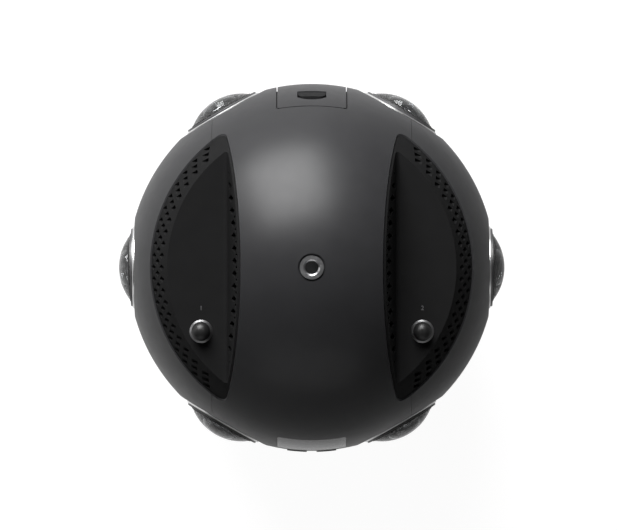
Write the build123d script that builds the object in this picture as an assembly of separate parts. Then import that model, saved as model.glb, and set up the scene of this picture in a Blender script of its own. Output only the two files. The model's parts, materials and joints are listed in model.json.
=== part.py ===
from build123d import *
from math import cos, radians, sin, sqrt, tan
import os

# A ball-shaped camera with six lenses round its equator.
# Lengths are in millimetres and angles in degrees. The model is built round the
# ball's centre, with +Z up, the display facing -Y and the battery at +Y, and is
# lifted at export so that the origin lies at the mouth of the tripod bush.

# Overall form
BALL_RADIUS = 71.5
SHELL_WALL = 2.5
LENS_FLAT_DEPTH = 2.7
BASE_FLAT_DEPTH = 4.0
BASE_RECESS = 0.8
SEAM_SETBACK = 2.0
SEAM_GAP = 0.1
SEAT_GAP = 0.05
RUNNING_GAP = 0.3
OVERRUN = 100.0
BALL_SEAM_AZIMUTH = 283.0

# Lens units, one every sixty degrees, stacked outwards from their flats
LENS_COUNT = 6
LENS_STEP_ANGLE = 360.0 / LENS_COUNT
LENS_HOLE_RADIUS = 11.5
LENS_FIT_GAP = 0.2
BEZEL_RADIUS = 16.0
BEZEL_HEIGHT = 0.75
BEZEL_CHAMFER = 0.3
TRIM_RADIUS = 15.2
TRIM_HEIGHT = 0.8
TRIM_CHAMFER = 0.2
BARREL_FLANGE_RADIUS = 13.1
BARREL_FLANGE_HEIGHT = 0.4
BARREL_FRONT_LENGTH = 10.0
BARREL_LENGTH = 22.0
BARREL_REAR_RADIUS = 10.8
BARREL_FRONT_BORE_RADIUS = 10.2
BARREL_REAR_BORE_RADIUS = 7.0
DOME_RADIUS = 12.7
DOME_HEIGHT = 4.4
DOME_WALL = 1.2
DOME_PLUG_DEPTH = 3.0
DOME_HOLLOW_RADIUS = 8.4
ELEMENT_DEPTH = 5.0
ELEMENT_THICKNESS = 2.6
ELEMENT_CROWN = 1.6
SENSOR_BOARD_SIZE = 20.0
SENSOR_BOARD_THICKNESS = 1.6
SENSOR_SIZE = 8.0
SENSOR_HEIGHT = 1.0

# Crescent vents: an opening past a sloping wall plane and above a level edge
VENT_EDGE_DEPTH = 36.3
VENT_WALL_DEPTH = 31.0
VENT_WALL_TILT = 11.5
VENT_CORNER_RADIUS = 4.5
VENT_LIP = 0.85
VENT_FLOOR_DEPTH = 27.1
VENT_FLOOR_FILLET = 2.0
VENT_RECESS = 0.5
VENT_WALL = 1.6
VENT_FLANGE_REACH = 2.0
VENT_FLANGE_WALL = 1.5
DIAMOND_HALF_DIAGONAL = 1.3
BAND_PITCH = 4.52
BAND_EDGE_MARGIN = 0.3
BAND_ROW_STEP = 2.3
BAND_ROW_COUNT = (21, 20, 19)
WALL_PITCH = 4.81
WALL_ROW_DEPTH = (7.7, 3.8)
WALL_ROW_HALF_HEIGHT = (4.8, 1.6)
WALL_ROW_HALF_WIDTH = (1.5, 0.8)
WALL_ROW_COUNT = (16, 9)

# Antenna ports on the top vent floors
ANTENNA_SETOFF = 1.9
ANTENNA_Y = -24.5
ANTENNA_RING_RADIUS = 4.45
ANTENNA_RING_HEIGHT = 0.8
ANTENNA_RING_CHAMFER = 0.7
ANTENNA_BODY_RADIUS = 3.1
ANTENNA_BODY_LENGTH = 8.0
ANTENNA_STUB_RADIUS = 2.5
ANTENNA_STUB_HEIGHT = 2.7
ANTENNA_PIN_HOLE_RADIUS = 0.7
ANTENNA_CAP_RADIUS = 3.65
ANTENNA_CAP_HEIGHT = 5.0
ANTENNA_CAP_WALL = 0.7
ANTENNA_CAP_FILLET = 3.3

# Crown socket with a quarter inch thread
CROWN_THREAD_RADIUS = 3.175
CROWN_THREAD_DEPTH = 7.0
CROWN_RING_RADIUS = 4.5
CROWN_RECESS_RADIUS = 5.3
CROWN_RECESS_DEPTH = 1.0
CROWN_SINK = 0.15
CROWN_BUSH_LENGTH = 9.5
CROWN_FLANGE_RADIUS = 7.5

# Battery, its bay and its cover
BATTERY_HALF_WIDTH = 12.0
BATTERY_PASSAGE_GAP = 1.2
BATTERY_LENGTH = 37.5
BATTERY_CORNER_RADIUS = 2.0
BAY_CLEARANCE = 0.4
BAY_WALL = 1.0
BAY_MOUTH_DEPTH = 13.5
BAY_COVER_GAP = 0.4
COVER_BACK_WALL = 2.0
COVER_HALF_WIDTH = 13.5
COVER_HALF_ANGLE = 29.7
COVER_GAP = 0.45
COVER_CORNER_RADIUS = 1.2
COVER_SKIN = 1.4
COVER_LEDGE = 0.9
COVER_HOLLOW_HALF_HEIGHT = 9.0
COVER_HOLLOW_HALF_WIDTH = 10.5
CONTACT_DEPTH = 2.0
CONTACT_HALF_WIDTH = 8.0
CONTACT_HALF_HEIGHT = 4.0

# Battery latch in the cover's finger recess
LATCH_RECESS_HALF_WIDTH = 5.6
LATCH_RECESS_MARGIN = 5.025
LATCH_RECESS_HEIGHT = 9.0
LATCH_RECESS_ARC_RADIUS = 7.3
LATCH_RECESS_FLOOR = 3.4
LATCH_BLOCK_HEIGHT = 4.9
LATCH_BLOCK_CORNER_RADIUS = 2.5
LATCH_FOOT_HALF_WIDTH = 3.0
LATCH_FOOT_DEPTH = 3.0
LATCH_FOOT_DROP = 3.0
LATCH_SLOT_LENGTH = 9.4
LATCH_FRONT_SINK = 0.3
SPRING_STRIP = 0.3
SPRING_WIDTH = 2.2
SPRING_FOLDS = 5

# Display window
DISPLAY_HALF_WIDTH = 13.5
DISPLAY_LOW_Z = 9.0
DISPLAY_HIGH_Z = 26.0
DISPLAY_CORNER_RADIUS = 1.5
DISPLAY_GLASS = 1.6
DISPLAY_FIT_GAP = 0.15
DISPLAY_LEDGE = 1.2

# Five buttons: two pairs below the display and one under them
BUTTON_WIDTH = 7.7
BUTTON_HEIGHT = 5.0
BUTTON_CORNER_RADIUS = 1.2
BUTTON_CENTRE_X = 5.75
BUTTON_ROW_STEP = 8.5
BUTTON_PROUD = 0.4
BUTTON_GAP = 0.3
BUTTON_TRAVEL = 0.5
BUTTON_FLANGE = 0.8
BUTTON_FLANGE_THICKNESS = 1.2
BUTTON_STEM_RADIUS = 1.5
SWITCH_RADIUS = 2.2
SWITCH_HEIGHT = 0.6

# Control board behind the display and the buttons
CONTROL_BOARD_THICKNESS = 1.6
CONTROL_BOARD_HALF_WIDTH = 13.0
CONTROL_BOARD_LOW_Z = -26.5
CONTROL_BOARD_HIGH_Z = 28.6
PANEL_THICKNESS = 2.6
PANEL_GLASS_GAP = 1.0
PANEL_INSET = 1.6
BOSS_RADIUS = 1.5
BOSS_X = 9.0
UPPER_BOSS_Z = 27.0
LOWER_BOSS_Z = -24.0

# Port recesses in the side shells, between lenses and below the equator
PORT_FACE_DEPTH = 8.3
PORT_WALL = 1.6
PORT_HALF_WIDTH = 14.5
PORT_CORNER_DROP = 0.87
PORT_HEIGHT = 17.0
PORT_FIT_GAP = 0.15
PORT_BOARD_RISE = 2.0
PORT_BOARD_THICKNESS = 1.6
PORT_BOARD_DEPTH = 17.0
PORT_BOARD_SETBACK = 1.7
PORT_PILLAR_INSET = 3.6
PORT_PILLAR_RADIUS = 2.0
RIGHT_FRONT_AZIMUTH = 330.0
LEFT_FRONT_AZIMUTH = 210.0
LEFT_REAR_AZIMUTH = 150.0
ETHERNET_SIZE = (17.2, 16.0, 13.5)
ETHERNET_CAVITY = (14.0, 11.9, 8.6)
ETHERNET_CAVITY_RISE = 1.6
ETHERNET_SIDE = -5.5
USB_SIZE = (9.0, 9.4, 3.7)
FLAT_SOCKET_WALL = 0.35
USB_TONGUE = (7.0, 6.6, 0.8)
USB_SIDE = 8.9
HDMI_SIZE = (9.0, 7.4, 3.7)
HDMI_TONGUE = (7.0, 4.4, 0.8)
HDMI_SIDE = -8.8
AUDIO_SIZE = (14.0, 6.6, 6.2)
AUDIO_BORE_RADIUS = 1.8
AUDIO_BORE_DEPTH = 12.0
AUDIO_SIDE = -0.4
POWER_SIZE = (14.0, 9.2, 11.0)
POWER_BORE_RADIUS = 2.9
POWER_PIN_RADIUS = 1.0
POWER_BORE_DEPTH = 9.5
POWER_SIDE = 9.0
CARD_SIZE = (17.2, 27.4, 12.6)
CARD_SLOT = (14.0, 11.6, 1.3)
CARD_SLOT_STEP_Z = 3.8
CARD_SLOT_STEP_Y = 13.2
CARD_ROWS = 3
CARD_COLUMNS = 2

# Chassis decks and posts
DECK_THICKNESS = 2.0
DECK_EDGE_GAP = 21.5
POST_RADIUS = 2.5
POST_INSET = 10.0
POST_AZIMUTHS = (30.0, 150.0, 210.0, 330.0)
CROWN_POST_SETBACK = 20.5
CROWN_POST_FAN_GAP = 7.0
BOARD_POST_INSET = 3.0
DECK_AIR_HOLE_RIM = 1.5
LEG_RADIUS = 3.2
LEG_CIRCLE_RADIUS = 17.0
LEG_AZIMUTHS = (45.0, 135.0, 225.0, 315.0)

# Main board, heat sink and fan
MAIN_BOARD_Z = -5.0
MAIN_BOARD_THICKNESS = 1.6
MAIN_BOARD_DECK_INSET = 20.0
MAIN_BOARD_BAY_GAP = 5.5
CHIP_HALF_SIZE = 12.0
CHIP_HEIGHT = 1.2
SINK_SIDE_INSET = 8.0
SINK_FRONT_INSET = 4.0
SINK_REAR_INSET = 2.0
SINK_BASE = 3.0
SINK_HEADROOM = 10.2
SINK_FIN = 1.2
SINK_FIN_COUNT = 12
FAN_WALL_GAP = 15.5
FAN_HEIGHT = 10.0
FAN_RIM = 1.5
FAN_CORNER_RADIUS = 3.0
FAN_HUB_RADIUS = 9.0
FAN_PLATE = 1.5
FAN_STRUT_WIDTH = 2.5
FAN_BUSH_RADIUS = 3.0
FAN_BUSH_HEIGHT = 3.0
FAN_SHAFT_RADIUS = 1.5
FAN_SHAFT_FIT = 0.05
FAN_ROTOR_LIFT = 0.5
FAN_TIP_GAP = 1.0
FAN_BLADE_COUNT = 9
FAN_BLADE_THICKNESS = 1.2
FAN_BLADE_ANGLE = 35.0
FAN_BLADE_HEIGHT = 6.5

# Base plate, tripod bush and screws
BASE_PLATE_RADIUS = 22.0
BASE_FLANGE_RADIUS = 24.2
BASE_PLATE_TOP = 5.8
TRIPOD_RADIUS = 4.7625
TRIPOD_DEPTH = 12.0
TRIPOD_BUSH_RADIUS = 8.0
TRIPOD_FLANGE_RADIUS = 11.0
TRIPOD_FLANGE_THICKNESS = 2.5
TRIPOD_BUSH_LENGTH = 14.0
TRIPOD_FIT_GAP = 0.1
SMALL_THREAD_RADIUS = 3.175
SMALL_THREAD_Y = 14.2
SCREW_RADIUS = 1.5
SCREW_HOLE_GAP = 0.1
SCREW_HEAD_RADIUS = 2.8
SCREW_HEAD_HEIGHT = 1.8
SCREW_LENGTH = 12.0
SCREW_DRIVE_RADIUS = 1.1
SCREW_DRIVE_DEPTH = 1.0

# Worked out from the sizes above
SHELL_INNER_RADIUS = BALL_RADIUS - SHELL_WALL
FLAT_DISTANCE = BALL_RADIUS - LENS_FLAT_DEPTH
BASE_DISTANCE = BALL_RADIUS - BASE_FLAT_DEPTH
SHELL_BASE_DISTANCE = BASE_DISTANCE - BASE_RECESS
VENT_EDGE_Z = BALL_RADIUS - VENT_EDGE_DEPTH
VENT_WALL_REACH = BALL_RADIUS - VENT_WALL_DEPTH
VENT_FLOOR_Z = BALL_RADIUS - VENT_FLOOR_DEPTH
SEAM_X = VENT_WALL_REACH - SEAM_SETBACK
ANTENNA_X = VENT_WALL_REACH + ANTENNA_SETOFF
BAY_MOUTH_Y = BALL_RADIUS - BAY_MOUTH_DEPTH
COVER_BACK_Y = BAY_MOUTH_Y + BAY_COVER_GAP
BATTERY_HALF_HEIGHT = SHELL_INNER_RADIUS * sin(radians(COVER_HALF_ANGLE)) - BATTERY_PASSAGE_GAP
LATCH_RECESS_HIGH_Z = BALL_RADIUS * sin(radians(COVER_HALF_ANGLE)) - LATCH_RECESS_MARGIN
LATCH_RECESS_LOW_Z = LATCH_RECESS_HIGH_Z - LATCH_RECESS_HEIGHT
LATCH_RECESS_FLOOR_Y = COVER_BACK_Y + LATCH_RECESS_FLOOR
LATCH_SLOT_LOW_Z = LATCH_RECESS_LOW_Z - LATCH_SLOT_LENGTH
PANEL_HALF_WIDTH = DISPLAY_HALF_WIDTH - PANEL_INSET
PANEL_HIGH_Z = DISPLAY_HIGH_Z - PANEL_INSET
PANEL_CORNER_Y = sqrt((BALL_RADIUS - DISPLAY_GLASS) ** 2 - PANEL_HALF_WIDTH ** 2 - PANEL_HIGH_Z ** 2)
CONTROL_BOARD_Y = PANEL_THICKNESS + PANEL_GLASS_GAP - PANEL_CORNER_Y
PORT_FACE_DISTANCE = BALL_RADIUS - PORT_FACE_DEPTH
PORT_CORNER_Z = sqrt(BALL_RADIUS ** 2 - PORT_FACE_DISTANCE ** 2 - PORT_HALF_WIDTH ** 2)
PORT_LOW_Z = -PORT_CORNER_Z - PORT_CORNER_DROP
PORT_HIGH_Z = PORT_LOW_Z + PORT_HEIGHT
PORT_BOARD_TOP_Z = PORT_LOW_Z + PORT_BOARD_RISE
PORT_BOARD_FRONT = PORT_FACE_DISTANCE - PORT_WALL - PORT_BOARD_SETBACK
DECK_RADIUS = BALL_RADIUS - DECK_EDGE_GAP
POST_CIRCLE_RADIUS = DECK_RADIUS - POST_INSET
MAIN_BOARD_HALF_WIDTH = DECK_RADIUS - MAIN_BOARD_DECK_INSET
FAN_HALF_WIDTH = VENT_WALL_REACH - FAN_WALL_GAP
FAN_BORE_RADIUS = FAN_HALF_WIDTH - FAN_RIM
DECK_AIR_HOLE_RADIUS = FAN_BORE_RADIUS - DECK_AIR_HOLE_RIM
BAY_HALF_HEIGHT = BATTERY_HALF_HEIGHT + BAY_CLEARANCE + BAY_WALL
BAY_HALF_WIDTH = BATTERY_HALF_WIDTH + BAY_CLEARANCE + BAY_WALL
DECK_Z = BAY_HALF_HEIGHT
FAN_BASE_Z = DECK_Z + DECK_THICKNESS
BASE_PLATE_TOP_Z = BASE_PLATE_TOP - BASE_DISTANCE
BAY_BACK_Y = COVER_BACK_Y - BATTERY_LENGTH - BAY_CLEARANCE - BAY_WALL
MAIN_BOARD_FRONT_Y = -MAIN_BOARD_HALF_WIDTH
MAIN_BOARD_REAR_Y = BAY_BACK_Y - MAIN_BOARD_BAY_GAP
SINK_HALF_WIDTH = MAIN_BOARD_HALF_WIDTH - SINK_SIDE_INSET
SINK_FRONT_Y = MAIN_BOARD_FRONT_Y + SINK_FRONT_INSET
SINK_REAR_Y = MAIN_BOARD_REAR_Y - SINK_REAR_INSET


def block(x_span, y_span, z_span):
    """A box between a low and a high value on each axis."""
    size = [span[1] - span[0] for span in (x_span, y_span, z_span)]
    low = Pos(x_span[0], y_span[0], z_span[0])
    return low * Box(*size, align=(Align.MIN, Align.MIN, Align.MIN))


def rod(radius, low, high):
    """A round bar along Z from low to high."""
    align = (Align.CENTER, Align.CENTER, Align.MIN)
    return Pos(0, 0, low) * Cylinder(radius, high - low, align=align)


def tube(outer_radius, inner_radius, low, high):
    return rod(outer_radius, low, high) - rod(inner_radius, low, high)


def along_y(shape):
    """Turns a shape built along +Z so that it runs along +Y."""
    return Rot(-90, 0, 0) * shape


def facing(azimuth):
    """Turns a shape built along +Z so that it faces outwards at an azimuth."""
    return Rot(0, 0, azimuth) * Rot(0, 90, 0)


def lens_azimuths():
    return [number * LENS_STEP_ANGLE for number in range(LENS_COUNT)]


def ball(radius):
    """A ball whose surface closes between the display and a lens flat, clear of the cuts."""
    return Rot(0, 0, BALL_SEAM_AZIMUTH) * Sphere(radius)


def ball_with_flats(radius, flat_distance):
    """A ball cut by six upright flats."""
    outline = RegularPolygon(flat_distance, LENS_COUNT, major_radius=False,
                             rotation=LENS_STEP_ANGLE / 2)
    return ball(radius) & extrude(outline, amount=OVERRUN, both=True)


def sphere_depth(radius, first, second):
    """How far a ball's surface lies along one axis, at two offsets across it."""
    return sqrt(radius ** 2 - first ** 2 - second ** 2)


# Crescent vents

def wall_reach(offset):
    """Where the sloping vent wall, moved out by an offset, meets the equator plane."""
    return VENT_WALL_REACH + offset / cos(radians(VENT_WALL_TILT))


def wall_x(offset, height):
    return wall_reach(offset) - height * tan(radians(VENT_WALL_TILT))


def vent_prism(offset, edge_z, corner_radius):
    """All the space past the moved wall plane and above edge_z, along Y."""
    corner = (wall_x(offset, edge_z), edge_z)
    top = (wall_x(offset, OVERRUN), OVERRUN)
    outline = make_face(Polyline(corner, (OVERRUN, edge_z), (OVERRUN, OVERRUN), top, close=True))
    outline = fillet(outline.vertices().sort_by_distance(corner)[0], corner_radius)
    return extrude(Plane.XZ * outline, amount=OVERRUN, both=True)


def vent_opening(offset):
    """The crescent opening in the shell, made smaller by an offset all round."""
    return vent_prism(offset, VENT_EDGE_Z + offset, VENT_CORNER_RADIUS - offset)


def vent_pocket(offset):
    """The space over the vent floor, grown by an offset all round."""
    return vent_prism(VENT_LIP - offset, VENT_FLOOR_Z - offset, VENT_FLOOR_FILLET + offset)


def at_four_vents(shape):
    """A shape of the right top vent, turned to all four vents."""
    return [shape, Rot(0, 0, 180) * shape, Rot(180, 0, 0) * shape, Rot(0, 180, 0) * shape]


def row_places(pitch, count):
    """Places of evenly spaced copies, centred on zero."""
    middle = (count - 1) / 2
    return [(number - middle) * pitch for number in range(count)]


def diamond_row(height, pitch, count):
    """One row of diamond outlines, in Y and Z."""
    side = DIAMOND_HALF_DIAGONAL * sqrt(2)
    diamond = Rot(0, 0, 45) * Rectangle(side, side)
    return [Pos(place, height) * diamond for place in row_places(pitch, count)]


def wall_slots():
    """Tall diamonds in the steep wall, in Y and Z, in rows that follow the opening's arc."""
    tilt = radians(VENT_WALL_TILT)
    plane_distance = VENT_WALL_REACH * cos(tilt)
    arc_radius = sqrt(BALL_RADIUS ** 2 - plane_distance ** 2)
    slots = []
    rows = zip(WALL_ROW_DEPTH, WALL_ROW_HALF_HEIGHT, WALL_ROW_HALF_WIDTH, WALL_ROW_COUNT)
    for depth, half_height, half_width, count in rows:
        for place in row_places(WALL_PITCH, count):
            rise = sqrt((arc_radius - depth) ** 2 - place ** 2)
            middle = Pos(place, plane_distance * sin(tilt) + rise * cos(tilt))
            corners = [(half_width, 0), (0, half_height), (-half_width, 0), (0, -half_height)]
            slots.append(middle * make_face(Polyline(*corners, close=True)))
    return slots


def vent_tray():
    """The right top vent: a perforated band, a sunk floor and a steep perforated wall."""
    skin = ball(BALL_RADIUS - VENT_RECESS) & vent_opening(SEAM_GAP)
    flange = ball(SHELL_INNER_RADIUS - SEAT_GAP) & vent_opening(-VENT_FLANGE_REACH)
    core = ball(SHELL_INNER_RADIUS - VENT_FLANGE_WALL) - vent_pocket(VENT_WALL)
    tray = skin + flange - vent_pocket(0) - core
    band = []
    first_row = VENT_EDGE_Z + BAND_EDGE_MARGIN + DIAMOND_HALF_DIAGONAL
    for number, count in enumerate(BAND_ROW_COUNT):
        band += diamond_row(first_row + number * BAND_ROW_STEP, BAND_PITCH, count)
    foot_x = wall_x(VENT_LIP, VENT_FLOOR_Z)
    band_cut = extrude(Plane.YZ.offset(foot_x) * Sketch(children=band), amount=OVERRUN)
    wall_zone = vent_prism(VENT_LIP - VENT_WALL - SEAT_GAP, 0, VENT_FLOOR_FILLET)
    wall_zone &= block((0, foot_x), (-OVERRUN, OVERRUN), (VENT_FLOOR_Z + VENT_FLOOR_FILLET, OVERRUN))
    wall_cut = extrude(Plane.YZ * Sketch(children=wall_slots()), amount=foot_x)
    return tray - band_cut - (wall_cut & wall_zone)


def antenna_hole(side):
    return Pos(side * ANTENNA_X, ANTENNA_Y) * rod(ANTENNA_BODY_RADIUS + SEAT_GAP, 0, OVERRUN)


def antenna_socket(side):
    """A threaded coaxial socket whose bright ring rests on the vent floor."""
    ring_top = VENT_FLOOR_Z + ANTENNA_RING_HEIGHT
    body = rod(ANTENNA_BODY_RADIUS, VENT_FLOOR_Z - ANTENNA_BODY_LENGTH, VENT_FLOOR_Z)
    ring = rod(ANTENNA_RING_RADIUS, VENT_FLOOR_Z, ring_top)
    ring = chamfer(ring.edges().group_by(Axis.Z)[-1], ANTENNA_RING_CHAMFER)
    stub = rod(ANTENNA_STUB_RADIUS, ring_top, ring_top + ANTENNA_STUB_HEIGHT)
    hole = rod(ANTENNA_PIN_HOLE_RADIUS, VENT_FLOOR_Z, OVERRUN)
    return Pos(side * ANTENNA_X, ANTENNA_Y) * (body + ring + stub - hole)


def antenna_cap(side):
    """A domed cap over the socket's stub."""
    low = VENT_FLOOR_Z + ANTENNA_RING_HEIGHT + RUNNING_GAP
    layers = []
    for inset in (0, ANTENNA_CAP_WALL):
        layer = rod(ANTENNA_CAP_RADIUS - inset, low, low + ANTENNA_CAP_HEIGHT - inset)
        layers.append(fillet(layer.edges().group_by(Axis.Z)[-1], ANTENNA_CAP_FILLET - inset))
    outside, inside = layers
    return Pos(side * ANTENNA_X, ANTENNA_Y) * (outside - inside)


# Openings in the shells

def cover_plug(inset):
    """The flared space that the battery cover fills, drawn in by an inset."""
    faces = []
    for depth in (BAY_MOUTH_Y - COVER_BACK_WALL, OVERRUN):
        half_height = depth * tan(radians(COVER_HALF_ANGLE)) - inset / cos(radians(COVER_HALF_ANGLE))
        half_width = COVER_HALF_WIDTH - inset
        outline = RectangleRounded(2 * half_width, 2 * half_height, COVER_CORNER_RADIUS)
        faces.append(Plane((0, depth, 0), x_dir=(1, 0, 0), z_dir=(0, 1, 0)) * outline)
    return loft(faces, ruled=True)


def front_prism(centre_x, centre_z, width, height, corner_radius):
    """A rounded bar running out through the front of the ball."""
    outline = RectangleRounded(width, height, corner_radius)
    return extrude(Plane.XZ * Pos(centre_x, centre_z) * outline, amount=OVERRUN)


def display_prism(inset):
    width = 2 * (DISPLAY_HALF_WIDTH - inset)
    height = DISPLAY_HIGH_Z - DISPLAY_LOW_Z - 2 * inset
    middle_z = (DISPLAY_HIGH_Z + DISPLAY_LOW_Z) / 2
    corner_radius = max(DISPLAY_CORNER_RADIUS - inset, DISPLAY_FIT_GAP)
    return front_prism(0, middle_z, width, height, corner_radius)


def button_places():
    """Centres of the five buttons, as X and Z."""
    pairs = [(side * BUTTON_CENTRE_X, -row * BUTTON_ROW_STEP) for row in (0, 1) for side in (-1, 1)]
    return pairs + [(0, -2 * BUTTON_ROW_STEP)]


def button_prism(place, growth):
    width = BUTTON_WIDTH + 2 * growth
    height = BUTTON_HEIGHT + 2 * growth
    return front_prism(place[0], place[1], width, height, BUTTON_CORNER_RADIUS)


def port_recess(azimuth):
    """The space of a flat-backed port recess in a side shell."""
    space = block((PORT_FACE_DISTANCE, OVERRUN), (-PORT_HALF_WIDTH, PORT_HALF_WIDTH),
                  (PORT_LOW_Z, PORT_HIGH_Z))
    return Rot(0, 0, azimuth) * space


def port_surround(azimuth):
    """The walls and the back of a port recess."""
    half_width = PORT_HALF_WIDTH + PORT_WALL
    walls = block((PORT_FACE_DISTANCE - PORT_WALL, OVERRUN), (-half_width, half_width),
                  (PORT_LOW_Z - PORT_WALL, PORT_HIGH_Z + PORT_WALL))
    return Rot(0, 0, azimuth) * walls & ball(BALL_RADIUS - SEAT_GAP)


def port_hole(azimuth, size, side):
    """A hole in the back of a port recess for one socket."""
    half_width = size[1] / 2 + PORT_FIT_GAP
    low = PORT_BOARD_TOP_Z - PORT_FIT_GAP
    high = PORT_BOARD_TOP_Z + size[2] + PORT_FIT_GAP
    hole = block((PORT_FACE_DISTANCE - 2 * PORT_WALL, OVERRUN), (side - half_width, side + half_width),
                 (low, high))
    return Rot(0, 0, azimuth) * hole


# Shells

def hollow_shell():
    """The whole outer skin with every opening, before it is split."""
    skin = ball_with_flats(BALL_RADIUS, FLAT_DISTANCE)
    skin -= ball_with_flats(SHELL_INNER_RADIUS, FLAT_DISTANCE - SHELL_WALL)
    for opening in at_four_vents(vent_opening(0)):
        skin -= opening
    for azimuth in lens_azimuths():
        skin -= facing(azimuth) * rod(LENS_HOLE_RADIUS, 0, OVERRUN)
    skin -= cover_plug(-COVER_GAP / 2) - ball(BALL_RADIUS - COVER_SKIN - RUNNING_GAP)
    skin -= cover_plug(COVER_LEDGE - COVER_GAP / 2)
    skin -= display_prism(DISPLAY_LEDGE)
    skin -= display_prism(0) - ball(BALL_RADIUS - DISPLAY_GLASS - SEAT_GAP)
    for place in button_places():
        skin -= button_prism(place, BUTTON_GAP)
    skin -= block((-OVERRUN, OVERRUN), (-OVERRUN, OVERRUN), (-OVERRUN, -SHELL_BASE_DISTANCE))
    skin -= rod(BASE_PLATE_RADIUS + SEAM_GAP, -OVERRUN, 0)
    skin -= rod(CROWN_RING_RADIUS + SEAM_GAP, 0, OVERRUN)
    skin -= rod(CROWN_RECESS_RADIUS, BALL_RADIUS - CROWN_RECESS_DEPTH, OVERRUN)
    return skin


def control_boss(side, height):
    """A boss inside the shell that the control board is screwed to."""
    boss = along_y(rod(BOSS_RADIUS, -OVERRUN, CONTROL_BOARD_Y))
    return Pos(side * BOSS_X, 0, height) * boss & ball(SHELL_INNER_RADIUS + SEAT_GAP)


def upper_shell(skin):
    half_width = SEAM_X - SEAM_GAP / 2
    part = skin & block((-half_width, half_width), (-OVERRUN, OVERRUN), (SEAM_GAP / 2, OVERRUN))
    for side in (-1, 1):
        part += control_boss(side, UPPER_BOSS_Z)
    return part


def lower_shell(skin):
    half_width = SEAM_X - SEAM_GAP / 2
    part = skin & block((-half_width, half_width), (-OVERRUN, OVERRUN), (-OVERRUN, -SEAM_GAP / 2))
    for side in (-1, 1):
        part += control_boss(side, LOWER_BOSS_Z)
    return part


def side_shell(skin, x_span, ports):
    """One side shell, with its port recesses and their socket holes."""
    part = skin & block(x_span, (-OVERRUN, OVERRUN), (-OVERRUN, OVERRUN))
    for azimuth in ports:
        part += port_surround(azimuth)
        part -= port_recess(azimuth)
        for size, side in ports[azimuth]:
            part -= port_hole(azimuth, size, side)
    return part


# Lens units

def glass_cap(radius, height):
    """A shallow dome on the XY plane."""
    curve_radius = (radius ** 2 + height ** 2) / (2 * height)
    return Pos(0, 0, height - curve_radius) * Sphere(curve_radius) & rod(radius, 0, height)


def flat_ring(radius, low, height, edge):
    """A ring round the lens hole, with its outer front edge chamfered."""
    ring = tube(radius, LENS_HOLE_RADIUS, low, low + height)
    outer_edge = ring.edges().group_by(Axis.Z)[-1].sort_by(SortBy.LENGTH)[-1]
    return chamfer(outer_edge, edge)


def lens_bezel():
    return flat_ring(BEZEL_RADIUS, FLAT_DISTANCE, BEZEL_HEIGHT, BEZEL_CHAMFER)


def lens_trim_plate():
    return flat_ring(TRIM_RADIUS, FLAT_DISTANCE + BEZEL_HEIGHT, TRIM_HEIGHT, TRIM_CHAMFER)


def lens_seat():
    """Distance from the ball's centre to the seat of the front glass."""
    return FLAT_DISTANCE + BEZEL_HEIGHT + TRIM_HEIGHT + BARREL_FLANGE_HEIGHT


def lens_barrel():
    """A stepped tube whose flange clamps the bezel and the trim plate to the shell."""
    rim_top = lens_seat()
    step = rim_top - BARREL_FRONT_LENGTH
    flange = tube(BARREL_FLANGE_RADIUS, BARREL_FRONT_BORE_RADIUS, rim_top - BARREL_FLANGE_HEIGHT, rim_top)
    front = tube(LENS_HOLE_RADIUS - LENS_FIT_GAP, BARREL_FRONT_BORE_RADIUS, step, rim_top)
    rear = tube(BARREL_REAR_RADIUS, BARREL_REAR_BORE_RADIUS, rim_top - BARREL_LENGTH, step)
    return flange + front + rear


def lens_glass():
    """The thick domed front glass with its round hollow, and the second element behind it."""
    fit_radius = BARREL_FRONT_BORE_RADIUS - SEAT_GAP
    dome = glass_cap(DOME_RADIUS, DOME_HEIGHT) + rod(fit_radius, -DOME_PLUG_DEPTH, 0)
    dome -= Pos(0, 0, DOME_HEIGHT - DOME_WALL - DOME_HOLLOW_RADIUS) * Sphere(DOME_HOLLOW_RADIUS)
    element = rod(fit_radius, -ELEMENT_THICKNESS, 0) + glass_cap(fit_radius, ELEMENT_CROWN)
    return [Pos(0, 0, lens_seat()) * dome, Pos(0, 0, lens_seat() - ELEMENT_DEPTH) * element]


def sensor_board():
    """A square board on the barrel's back end, with the image sensor inside it."""
    front = lens_seat() - BARREL_LENGTH
    half_size = SENSOR_BOARD_SIZE / 2
    half_sensor = SENSOR_SIZE / 2
    board = block((-half_size, half_size), (-half_size, half_size),
                  (front - SENSOR_BOARD_THICKNESS, front))
    sensor = block((-half_sensor, half_sensor), (-half_sensor, half_sensor),
                   (front, front + SENSOR_HEIGHT))
    return board + sensor


# Crown socket and base

def top_thread_bush():
    """A flanged bush in the crown with a blind quarter inch thread."""
    top = BALL_RADIUS - CROWN_SINK
    flange_top = sphere_depth(SHELL_INNER_RADIUS - SEAT_GAP, CROWN_FLANGE_RADIUS, 0)
    flange = rod(CROWN_FLANGE_RADIUS, top - CROWN_BUSH_LENGTH, flange_top)
    bush = rod(CROWN_RING_RADIUS, top - CROWN_BUSH_LENGTH, top)
    return bush + flange - rod(CROWN_THREAD_RADIUS, top - CROWN_THREAD_DEPTH, OVERRUN)


def leg_places():
    return [Rot(0, 0, azimuth) * Pos(LEG_CIRCLE_RADIUS, 0, 0) for azimuth in LEG_AZIMUTHS]


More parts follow.
